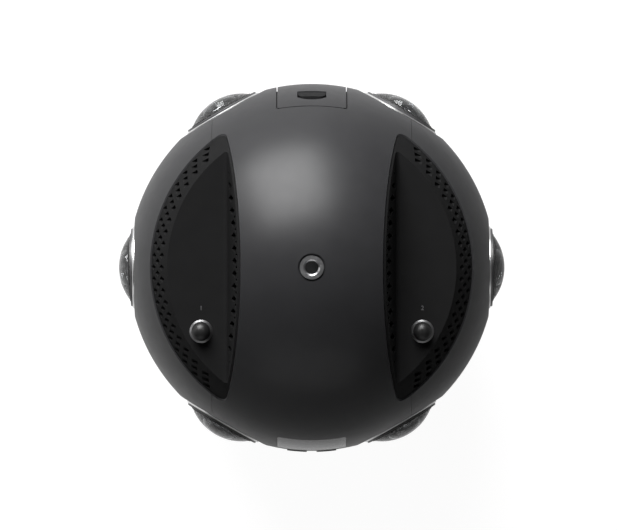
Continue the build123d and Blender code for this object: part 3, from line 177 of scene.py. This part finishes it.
LOOKS = {
    # Satin dark grey paint with a very fine grain
    "shell_paint": Look(
        colour=(0.022, 0.022, 0.0234), roughness=0.37, specular=0.26,
        gloss_blotch=4 * MM, gloss_change=0.02, colour_blotch=9 * MM, colour_share=0.05,
        grain_size=0.12 * MM, grain_height=0.004 * MM, grain_strength=0.6),
    # Matt black moulding with a spark-eroded texture
    "vent_plastic": Look(
        colour=(0.0058, 0.0058, 0.006), roughness=0.75, specular=0.12,
        gloss_blotch=3 * MM, gloss_change=0.04, colour_blotch=6 * MM, colour_share=0.08,
        grain_size=0.2 * MM, grain_height=0.012 * MM, grain_strength=0.7),
    # Bright machined metal of the lens bezels, and of the contacts and rings in the sockets
    "polished_metal": Look(
        colour=(0.93, 0.93, 0.93), roughness=0.32, metallic=1.0,
        gloss_blotch=0.8 * MM, gloss_change=0.04, colour_blotch=5 * MM, colour_share=0.04,
        grain_size=0.15 * MM, grain_height=0.001 * MM, grain_strength=0.4),
    # Darker plated metal of the antenna sockets
    "antenna_metal": Look(
        colour=(0.4, 0.4, 0.406), roughness=0.36, metallic=1.0,
        gloss_blotch=0.8 * MM, gloss_change=0.04, colour_blotch=5 * MM, colour_share=0.04,
        grain_size=0.15 * MM, grain_height=0.001 * MM, grain_strength=0.4),
    # Semi-gloss black of the lens trim plates
    "trim_black": Look(
        colour=(0.05, 0.05, 0.052), roughness=0.35, specular=1.0,
        gloss_blotch=2 * MM, gloss_change=0.04, colour_blotch=4 * MM, colour_share=0.08,
        grain_size=0.15 * MM, grain_height=0.003 * MM, grain_strength=0.5),
    # Semi-matt black of the lens barrels and their baffles
    "barrel_black": Look(
        colour=(0.03, 0.03, 0.03), roughness=0.5, specular=0.8,
        gloss_blotch=1.5 * MM, gloss_change=0.05, colour_blotch=3 * MM, colour_share=0.1,
        grain_size=0.1 * MM, grain_height=0.004 * MM, grain_strength=0.6),
    # Clear, faintly blue glass of the lenses
    "lens_glass": Look(
        colour=(0.96, 0.975, 0.985), roughness=0.015, specular=1.0,
        gloss_blotch=6 * MM, gloss_change=0.008, colour_blotch=12 * MM, colour_share=0.01,
        other_values=(("Transmission Weight", 1.0), ("IOR", 1.5))),
    # Circuit boards
    "board_green": Look(
        colour=(0.04, 0.22, 0.1), roughness=0.4, specular=1.0,
        gloss_blotch=1.0 * MM, gloss_change=0.08, colour_blotch=1.2 * MM, colour_share=0.25,
        grain_size=0.5 * MM, grain_height=0.02 * MM, grain_strength=0.6),
    # Dark anodised aluminium of the decks and the base plate
    "deck_aluminium": Look(
        colour=(0.12, 0.12, 0.124), roughness=0.42, metallic=0.6, specular=1.0,
        gloss_blotch=2 * MM, gloss_change=0.06, colour_blotch=5 * MM, colour_share=0.1,
        grain_size=0.18 * MM, grain_height=0.006 * MM, grain_strength=0.6),
    # Bare aluminium with drawn lines along the heat sink's fins
    "sink_aluminium": Look(
        colour=(0.93, 0.93, 0.93), roughness=0.35, metallic=1.0,
        gloss_blotch=1.0 * MM, gloss_change=0.06, colour_blotch=4 * MM, colour_share=0.06,
        grain_size=0.2 * MM, grain_height=0.006 * MM, grain_strength=0.6, grain_stretch=(1.0, 0.05, 1.0)),
    # Plain black plastic of the battery, its bay and latch, the fan, the card slots and the round sockets
    "black_plastic": Look(
        colour=(0.007, 0.007, 0.0074), roughness=0.55, specular=0.12,
        gloss_blotch=2 * MM, gloss_change=0.05, colour_blotch=5 * MM, colour_share=0.08,
        grain_size=0.25 * MM, grain_height=0.01 * MM, grain_strength=0.6),
    # Steel of the bushes, the screws, the latch's spring and the boxed sockets, with fine level lines
    "steel": Look(
        colour=(0.46, 0.46, 0.468), roughness=0.34, metallic=1.0,
        gloss_blotch=0.8 * MM, gloss_change=0.06, colour_blotch=3 * MM, colour_share=0.08,
        grain_size=0.15 * MM, grain_height=0.004 * MM, grain_strength=0.6, grain_stretch=(1.0, 1.0, 4.0)),
    # Smooth black plastic of the antenna caps
    "cap_gloss": Look(
        colour=(0.008, 0.008, 0.008), roughness=0.42, specular=0.4,
        gloss_blotch=1.5 * MM, gloss_change=0.04, colour_blotch=3 * MM, colour_share=0.1,
        grain_size=0.15 * MM, grain_height=0.002 * MM, grain_strength=0.5),
    # The display's dark window
    "display_gloss": Look(
        colour=(0.08, 0.08, 0.082), roughness=0.16, specular=1.0,
        gloss_blotch=5 * MM, gloss_change=0.02, colour_blotch=8 * MM, colour_share=0.05),
    # Semi-gloss black of the buttons
    "button_plastic": Look(
        colour=(0.04, 0.04, 0.042), roughness=0.36, specular=0.9,
        gloss_blotch=1.5 * MM, gloss_change=0.04, colour_blotch=3 * MM, colour_share=0.06,
        grain_size=0.14 * MM, grain_height=0.003 * MM, grain_strength=0.5),
    # Faint grey print of the numerals
    "print_grey": Look(
        colour=(0.1, 0.1, 0.104), roughness=0.6, specular=0.4,
        gloss_blotch=1.0 * MM, gloss_change=0.05),
    # The dark, faintly coloured rear element seen down the barrel
    "coated_element": Look(
        colour=(0.012, 0.012, 0.024), roughness=0.05,
        gloss_blotch=3 * MM, gloss_change=0.02,
        other_values=(("Coat Weight", 1.0), ("Coat Roughness", 0.03), ("Coat Tint", (0.55, 0.7, 1.0, 1.0)))),
}

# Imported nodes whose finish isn't the one named after their slot
OWN_FINISHES = {"antenna_sockets": "antenna_metal"}

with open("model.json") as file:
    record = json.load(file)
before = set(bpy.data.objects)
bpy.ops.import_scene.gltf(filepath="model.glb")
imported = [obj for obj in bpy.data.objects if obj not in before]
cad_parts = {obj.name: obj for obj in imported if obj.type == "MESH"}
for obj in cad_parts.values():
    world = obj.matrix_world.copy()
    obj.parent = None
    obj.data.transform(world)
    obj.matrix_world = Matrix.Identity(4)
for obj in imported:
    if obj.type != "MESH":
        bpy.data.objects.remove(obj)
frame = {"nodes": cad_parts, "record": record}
for startup in ("Cube", "Light", "Camera"):
    if startup in bpy.data.objects:
        bpy.data.objects.remove(bpy.data.objects[startup])
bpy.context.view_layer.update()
nodes = frame["nodes"]
slots = {part["node"]: part["material_slot"] for part in frame["record"]["subparts"]}


# Materials

class Finish:
    """A material with a Principled shader, made from a look."""

    def __init__(self, name, look):
        self.look = look
        self.material = bpy.data.materials.new(name)
        self.material.use_nodes = True
        self.tree = self.material.node_tree
        self.shader = self.tree.nodes["Principled BSDF"]
        self.place = self.tree.nodes.new("ShaderNodeTexCoord").outputs["Object"]
        values = (("Base Color", (*look.colour, 1.0)), ("Roughness", look.roughness),
                  ("Metallic", look.metallic), ("Specular IOR Level", look.specular))
        for socket, value in values + look.other_values:
            self.shader.inputs[socket].default_value = value
        if look.gloss_blotch:
            self.vary_roughness()
        if look.colour_blotch:
            self.vary_colour()
        if look.grain_size:
            self.add_grain()

    def link(self, output, socket):
        self.tree.links.new(output, socket)

    def noise(self, size, detail=BLOTCH_DETAIL, stretch=(1.0, 1.0, 1.0)):
        """Noise whose blotches are about size metres across."""
        mapping = self.tree.nodes.new("ShaderNodeMapping")
        mapping.inputs["Scale"].default_value = stretch
        texture = self.tree.nodes.new("ShaderNodeTexNoise")
        texture.inputs["Scale"].default_value = 1.0 / size
        texture.inputs["Detail"].default_value = detail
        self.link(self.place, mapping.inputs["Vector"])
        self.link(mapping.outputs["Vector"], texture.inputs["Vector"])
        return texture.outputs["Fac"]

    def vary_roughness(self):
        """Lowers and raises the roughness by its change."""
        spread = self.tree.nodes.new("ShaderNodeMapRange")
        spread.inputs["From Min"].default_value = NOISE_LOW
        spread.inputs["From Max"].default_value = NOISE_HIGH
        spread.inputs["To Min"].default_value = self.look.roughness - self.look.gloss_change
        spread.inputs["To Max"].default_value = self.look.roughness + self.look.gloss_change
        self.link(self.noise(self.look.gloss_blotch), spread.inputs["Value"])
        self.link(spread.outputs["Result"], self.shader.inputs["Roughness"])

    def vary_colour(self):
        """Darkens and lightens the colour by its share."""
        ramp = self.tree.nodes.new("ShaderNodeValToRGB")
        share = self.look.colour_share
        stops = zip(ramp.color_ramp.elements, (NOISE_LOW, NOISE_HIGH), (1 - share, 1 + share))
        for stop, position, change in stops:
            stop.position = position
            stop.color = (*[min(part * change, 1.0) for part in self.look.colour], 1.0)
        self.link(self.noise(self.look.colour_blotch), ramp.inputs["Fac"])
        self.link(ramp.outputs["Color"], self.shader.inputs["Base Color"])

    def add_grain(self):
        """Fine bumps."""
        bump = self.tree.nodes.new("ShaderNodeBump")
        bump.inputs["Strength"].default_value = self.look.grain_strength
        bump.inputs["Distance"].default_value = self.look.grain_height
        height = self.noise(self.look.grain_size, GRAIN_DETAIL, self.look.grain_stretch)
        self.link(height, bump.inputs["Height"])
        self.link(bump.outputs["Normal"], self.shader.inputs["Normal"])


finishes = {name: Finish(name, look).material for name, look in LOOKS.items()}


def dress_nodes():
    """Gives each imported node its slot's finish, or its own where it has one."""
    for name, node in nodes.items():
        node.data.materials.clear()
        node.data.materials.append(finishes[OWN_FINISHES.get(name, slots[name])])


# Pieces made here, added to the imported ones

def add_piece(name, mesh, slot_name, place, finish_name=None):
    """Puts a piece on the camera's body, with its slot's finish or another that is named."""
    mesh.materials.append(finishes[finish_name or slot_name])
    piece = bpy.data.objects.new(name, mesh)
    piece.matrix_world = place
    bpy.context.scene.collection.objects.link(piece)
    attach(piece, "camera")


def finished_mesh(name, shape, smooth=False):
    """A mesh from a shape, with its faces turned outwards."""
    bmesh.ops.recalc_face_normals(shape, faces=shape.faces)
    for face in shape.faces:
        face.smooth = smooth
    mesh = bpy.data.meshes.new(name)
    shape.to_mesh(mesh)
    shape.free()
    return mesh


def thread_mesh(radius, pitch, length, inward):
    """A helical ridge from the origin along +Z: inward is 1 on a bore's wall, and below zero round a stub."""
    shape = bmesh.new()
    root = radius + inward * THREAD_SINK
    crest = radius - inward * pitch * THREAD_DEPTH_SHARE
    flank = pitch * THREAD_FLANK_SHARE
    turns = (length - 2 * flank) / pitch
    before = None
    for step in range(int(turns * THREAD_STEPS) + 1):
        angle = 2 * pi * step / THREAD_STEPS
        middle = flank + pitch * step / THREAD_STEPS
        profile = ((root, middle - flank), (crest, middle), (root, middle + flank))
        row = [shape.verts.new((away * cos(angle), away * sin(angle), height)) for away, height in profile]
        if before:
            shape.faces.new((before[0], before[1], row[1], row[0]))
            shape.faces.new((before[1], before[2], row[2], row[1]))
        before = row
    return finished_mesh("thread_ridge", shape)


def turned_mesh(name, profile, smooth=False):
    """A turned piece about Z, from its radii and heights in order."""
    shape = bmesh.new()
    angles = [2 * pi * step / TURN_STEPS for step in range(TURN_STEPS)]
    rows = []
    for radius, height in profile:
        rows.append([shape.verts.new((radius * cos(angle), radius * sin(angle), height)) for angle in angles])
    for low, high in zip(rows, rows[1:]):
        for step in range(TURN_STEPS):
            after = (step + 1) % TURN_STEPS
            shape.faces.new((low[step], low[after], high[after], high[step]))
    return finished_mesh(name, shape, smooth)


def box_mesh(name, size):
    """A box about the origin."""
    shape = bmesh.new()
    bmesh.ops.create_cube(shape, size=1.0)
    bmesh.ops.scale(shape, vec=size, verts=shape.verts)
    return finished_mesh(name, shape)


def moved(x, y, z):
    return Matrix.Translation((x, y, z))


def turned(angle, axis):
    return Matrix.Rotation(radians(angle), 4, axis)


def outward(azimuth, distance, side, height):
    """A frame at a port, with +X pointing out of it and the height above its board."""
    return turned(azimuth, "Z") @ moved(distance, side, PORT_BOARD_TOP + height)


def row_places(middle, count, pitch):
    """Places evenly spaced about the middle of a row."""
    return [middle + (number - (count - 1) / 2) * pitch for number in range(count)]


def cut_threads():
    """The ridges of the threads in the crown, in the base and on the antenna stubs."""
    crown = thread_mesh(QUARTER_INCH_RADIUS, QUARTER_INCH_PITCH, CROWN_LENGTH, 1)
    add_piece("crown_thread_ridge", crown, "steel", moved(0, 0, CROWN_MOUTH) @ turned(180, "X"))
    tripod = thread_mesh(TRIPOD_RADIUS, TRIPOD_PITCH, TRIPOD_LENGTH, 1)
    add_piece("tripod_thread_ridge", tripod, "steel", Matrix.Identity(4))
    small = thread_mesh(QUARTER_INCH_RADIUS, QUARTER_INCH_PITCH, BASE_LENGTH, 1)
    add_piece("small_thread_ridge", small, "deck_aluminium", moved(0, SMALL_THREAD_Y, 0))
    for side in (-1, 1):
        stub = thread_mesh(ANTENNA_STUB_RADIUS, ANTENNA_PITCH, ANTENNA_STUB_HEIGHT, -ANTENNA_RIDGE_SHARE)
        place = moved(side * ANTENNA_X, ANTENNA_Y, ANTENNA_STUB_FOOT)
        add_piece(f"antenna_thread_ridge_{side}", stub, "polished_metal", place, "antenna_metal")


def numeral_mesh(text):
    """A flat numeral in Blender's own plain letters."""
    curve = bpy.data.curves.new("numeral", "FONT")
    curve.body = text
    curve.size = NUMERAL_SIZE
    curve.extrude = NUMERAL_DEPTH
    curve.align_x = "CENTER"
    curve.align_y = "CENTER"
    outline = bpy.data.objects.new("numeral_outline", curve)
    bpy.context.scene.collection.objects.link(outline)
    bpy.context.view_layer.update()
    mesh = bpy.data.meshes.new_from_object(outline.evaluated_get(bpy.context.evaluated_depsgraph_get()))
    bpy.data.objects.remove(outline)
    mesh.materials.clear()
    return mesh


def port_numerals():
    """A plain printed numeral beside each antenna port."""
    for text, side in (("1", -1), ("2", 1)):
        place = moved(side * ANTENNA_X, ANTENNA_Y + NUMERAL_STEP_Y, VENT_FLOOR_Z)
        add_piece(f"port_numeral_{text}", numeral_mesh(text), "vent_plastic", place, "print_grey")


def ethernet_pins():
    """The sprung pins, which slope down from the socket's mouth."""
    pin = box_mesh("ethernet_pin", ETHERNET_PIN_SIZE)
    distance = PORT_FACE - ETHERNET_PIN_BACK + ETHERNET_PIN_SIZE[0] / 2
    for number, side in enumerate(row_places(ETHERNET_SIDE, ETHERNET_PINS, ETHERNET_PITCH)):
        place = outward(RIGHT_FRONT_AZIMUTH, distance, side, ETHERNET_PIN_Z) @ turned(ETHERNET_PIN_TILT, "Y")
        add_piece(f"ethernet_pin_{number}", pin.copy(), "polished_metal", place)


def flat_contacts():
    """The contacts on the tongues of the two flat sockets."""
    strip = box_mesh("flat_contact", FLAT_CONTACT_SIZE)
    distance = PORT_FACE - FLAT_CONTACT_BACK + FLAT_CONTACT_SIZE[0] / 2
    height = FLAT_SOCKET_MIDDLE_Z + FLAT_TONGUE_HALF
    sockets = (("usb", RIGHT_FRONT_AZIMUTH, USB_SIDE, USB_CONTACTS, USB_PITCH),
               ("hdmi", LEFT_FRONT_AZIMUTH, HDMI_SIDE, HDMI_CONTACTS, HDMI_PITCH))
    for label, azimuth, middle, count, pitch in sockets:
        for number, side in enumerate(row_places(middle, count, pitch)):
            place = outward(azimuth, distance, side, height)
            add_piece(f"{label}_contact_{number}", strip.copy(), "polished_metal", place)


def socket_rings():
    """The bright rings round the two round sockets."""
    rings = (("audio", AUDIO_SIDE, AUDIO_MIDDLE_Z, AUDIO_BORE),
             ("power", POWER_SIDE, POWER_MIDDLE_Z, POWER_BORE))
    for label, side, height, bore in rings:
        rim = bore + RING_WIDTH
        ring = turned_mesh("socket_ring", ((bore, 0), (bore, RING_HEIGHT), (rim, RING_HEIGHT), (rim, 0)))
        place = outward(LEFT_FRONT_AZIMUTH, PORT_FACE, side, height) @ turned(90, "Y")
        add_piece(f"{label}_ring", ring, "polished_metal", place)


def baffle_profile():
    """Steps that widen from the barrel's rear bore to its front bore."""
    gap = ELEMENT_BACK - BARREL_STEP
    rows = [(BARREL_REAR_BORE, 0)]
    for share in BAFFLE_SHARES:
        radius = BARREL_REAR_BORE + (BARREL_FRONT_BORE - BARREL_REAR_BORE) * share
        rows += [(radius, rows[-1][1]), (radius, gap * share)]
    rows.append((BARREL_FRONT_BORE, rows[-1][1]))
    return rows


def rear_element_profile():
    """A shallow dome, from its edge to its middle."""
    angles = [pi / 2 * step / REAR_ELEMENT_STEPS for step in range(REAR_ELEMENT_STEPS)]
    rows = [(BARREL_REAR_BORE * cos(angle), REAR_ELEMENT_RISE * sin(angle)) for angle in angles]
    rows.append((REAR_ELEMENT_HOLE, REAR_ELEMENT_RISE))
    return rows


def lens_insides():
    """Baffle rings and a rear element between the barrel's step and the second glass."""
    for number in range(LENS_COUNT):
        facing = moved(*BALL_CENTRE) @ turned(number * LENS_STEP_ANGLE, "Z") @ turned(90, "Y")
        baffle = turned_mesh("lens_baffle", baffle_profile())
        add_piece(f"lens_{number + 1}_baffle", baffle, "barrel_black", facing @ moved(0, 0, BARREL_STEP))
        element = turned_mesh("lens_rear_element", rear_element_profile(), smooth=True)
        place = facing @ moved(0, 0, BARREL_STEP - REAR_ELEMENT_RISE)
        add_piece(f"lens_{number + 1}_rear_element", element, "lens_glass", place, "coated_element")


# Floor, surroundings, lamps and camera

def picked(tree, operation, outputs):
    """The least or the greatest of some outputs."""
    result = outputs[0]
    for output in outputs[1:]:
        step = tree.nodes.new("ShaderNodeMath")
        step.operation = operation
        tree.links.new(result, step.inputs[0])
        tree.links.new(output, step.inputs[1])
        result = step.outputs[0]
    return result


def sloped(tree, value, low, high, low_result, high_result):
    """A smooth change from one result to another as a value runs from low to high."""
    step = tree.nodes.new("ShaderNodeMapRange")
    step.interpolation_type = "SMOOTHSTEP"
    step.inputs["From Min"].default_value = low
    step.inputs["From Max"].default_value = high
    step.inputs["To Min"].default_value = low_result
    step.inputs["To Max"].default_value = high_result
    tree.links.new(value, step.inputs["Value"])
    return step.outputs["Result"]


def mirrored_glow(tree):
    """The floor's brightness in reflections, which falls off to the right and to the front."""
    place = tree.nodes.new("ShaderNodeTexCoord")
    parts = tree.nodes.new("ShaderNodeSeparateXYZ")
    tree.links.new(place.outputs["Object"], parts.inputs["Vector"])
    dim = MIRRORED_GLOW * MIRRORED_DIM_SHARE
    right_end = MIRRORED_RIGHT_EDGE + MIRRORED_RIGHT_WIDTH
    front_end = MIRRORED_FRONT_EDGE + MIRRORED_FRONT_WIDTH
    right = sloped(tree, parts.outputs["X"], MIRRORED_RIGHT_EDGE, right_end, MIRRORED_GLOW, dim)
    front = sloped(tree, parts.outputs["Y"], -front_end, -MIRRORED_FRONT_EDGE, dim, MIRRORED_GLOW)
    return picked(tree, "MINIMUM", (right, front))


def floor_material():
    """A pale floor that reads as white, with a share of its real shading for the shadow."""
    material = bpy.data.materials.new("pale_floor")
    material.use_nodes = True
    tree = material.node_tree
    shader = tree.nodes["Principled BSDF"]
    shader.inputs["Base Color"].default_value = (FLOOR_GREY, FLOOR_GREY, FLOOR_GREY, 1.0)
    shader.inputs["Roughness"].default_value = FLOOR_ROUGHNESS
    shader.inputs["Specular IOR Level"].default_value = 0.0
    path = tree.nodes.new("ShaderNodeLightPath")
    level = tree.nodes.new("ShaderNodeMix")
    level.inputs["A"].default_value = FLOOR_GLOW
    tree.links.new(path.outputs["Is Glossy Ray"], level.inputs["Factor"])
    tree.links.new(mirrored_glow(tree), level.inputs["B"])
    glow = tree.nodes.new("ShaderNodeEmission")
    tree.links.new(level.outputs["Result"], glow.inputs["Strength"])
    looking = [path.outputs[name] for name in ("Is Camera Ray", "Is Glossy Ray", "Is Transmission Ray")]
    share = tree.nodes.new("ShaderNodeMath")
    share.operation = "MULTIPLY"
    share.inputs[1].default_value = 1.0 - FLOOR_SHADOW_SHARE
    tree.links.new(picked(tree, "MAXIMUM", looking), share.inputs[0])
    mix = tree.nodes.new("ShaderNodeMixShader")
    tree.links.new(share.outputs[0], mix.inputs["Fac"])
    tree.links.new(shader.outputs["BSDF"], mix.inputs[1])
    tree.links.new(glow.outputs["Emission"], mix.inputs[2])
    tree.links.new(mix.outputs["Shader"], tree.nodes["Material Output"].inputs["Surface"])
    return material


def lay_floor():
    """A wide round floor, just below the object's foot."""
    mesh = bpy.data.meshes.new("floor")
    shape = bmesh.new()
    bmesh.ops.create_circle(shape, cap_ends=True, segments=FLOOR_SIDES, radius=FLOOR_RADIUS)
    shape.to_mesh(mesh)
    shape.free()
    floor = bpy.data.objects.new("floor", mesh)
    floor.location.z = -FLOOR_DROP
    mesh.materials.append(floor_material())
    bpy.context.scene.collection.objects.link(floor)


def light_surroundings():
    """A soft studio: brightest low down at the back left, dim at the front right and overhead."""
    world = bpy.data.worlds.new("studio")
    bpy.context.scene.world = world
    world.use_nodes = True
    tree = world.node_tree
    place = tree.nodes.new("ShaderNodeTexCoord")
    parts = tree.nodes.new("ShaderNodeSeparateXYZ")
    tree.links.new(place.outputs["Generated"], parts.inputs["Vector"])
    side = tree.nodes.new("ShaderNodeVectorMath")
    side.operation = "DOT_PRODUCT"
    side.inputs[1].default_value = BRIGHT_SIDE
    tree.links.new(place.outputs["Generated"], side.inputs[0])
    toward = side.outputs["Value"]
    low_light = sloped(tree, toward, -SIDE_REACH, SIDE_REACH, DIM_SIDE_LIGHT, BRIGHT_SIDE_LIGHT)
    fade = sloped(tree, parts.outputs["Z"], 0.0, OVERHEAD_Z, 1.0, 0.0)
    mix = tree.nodes.new("ShaderNodeMix")
    mix.inputs["A"].default_value = OVERHEAD_LIGHT
    tree.links.new(fade, mix.inputs["Factor"])
    tree.links.new(low_light, mix.inputs["B"])
    tree.links.new(mix.outputs["Result"], tree.nodes["Background"].inputs["Strength"])
    tree.nodes["Background"].inputs["Color"].default_value = (1.0, 1.0, 1.0, 1.0)


def set_lamps():
    """Makes each lamp and turns it to the ball's centre."""
    for name, lamp in LAMPS.items():
        data = bpy.data.lights.new(name, "AREA")
        data.shape = "RECTANGLE"
        data.size, data.size_y = lamp.size
        data.energy = lamp.power
        source = bpy.data.objects.new(name, data)
        azimuth = radians(lamp.azimuth)
        elevation = radians(lamp.elevation)
        level = cos(elevation)
        direction = Vector((cos(azimuth) * level, sin(azimuth) * level, sin(elevation)))
        source.location = BALL_CENTRE + direction * lamp.distance
        source.rotation_euler = direction.to_track_quat("Z", "Y").to_euler()
        bpy.context.scene.collection.objects.link(source)


def place_camera():
    """Straight above, and a little aside, so that the ball stands where it does in the photograph."""
    data = bpy.data.cameras.new("camera")
    data.sensor_width = SENSOR_WIDTH
    data.lens = SENSOR_WIDTH * CAMERA_DISTANCE / (PHOTO_WIDTH * PHOTO_METRES_PER_PIXEL)
    data.clip_end = CAMERA_REACH
    camera = bpy.data.objects.new("camera", data)
    offset_x = (PHOTO_WIDTH / 2 - BALL_PIXEL_X) * PHOTO_METRES_PER_PIXEL
    offset_y = (BALL_PIXEL_Y - PHOTO_HEIGHT / 2) * PHOTO_METRES_PER_PIXEL
    camera.location = BALL_CENTRE + Vector((offset_x, offset_y, CAMERA_DISTANCE))
    bpy.context.scene.collection.objects.link(camera)
    bpy.context.scene.camera = camera


bpy.context.scene.view_settings.view_transform = "Standard"
place_camera()
dress_nodes()
cut_threads()
port_numerals()
ethernet_pins()
flat_contacts()
socket_rings()
lens_insides()
lay_floor()
light_surroundings()
set_lamps()
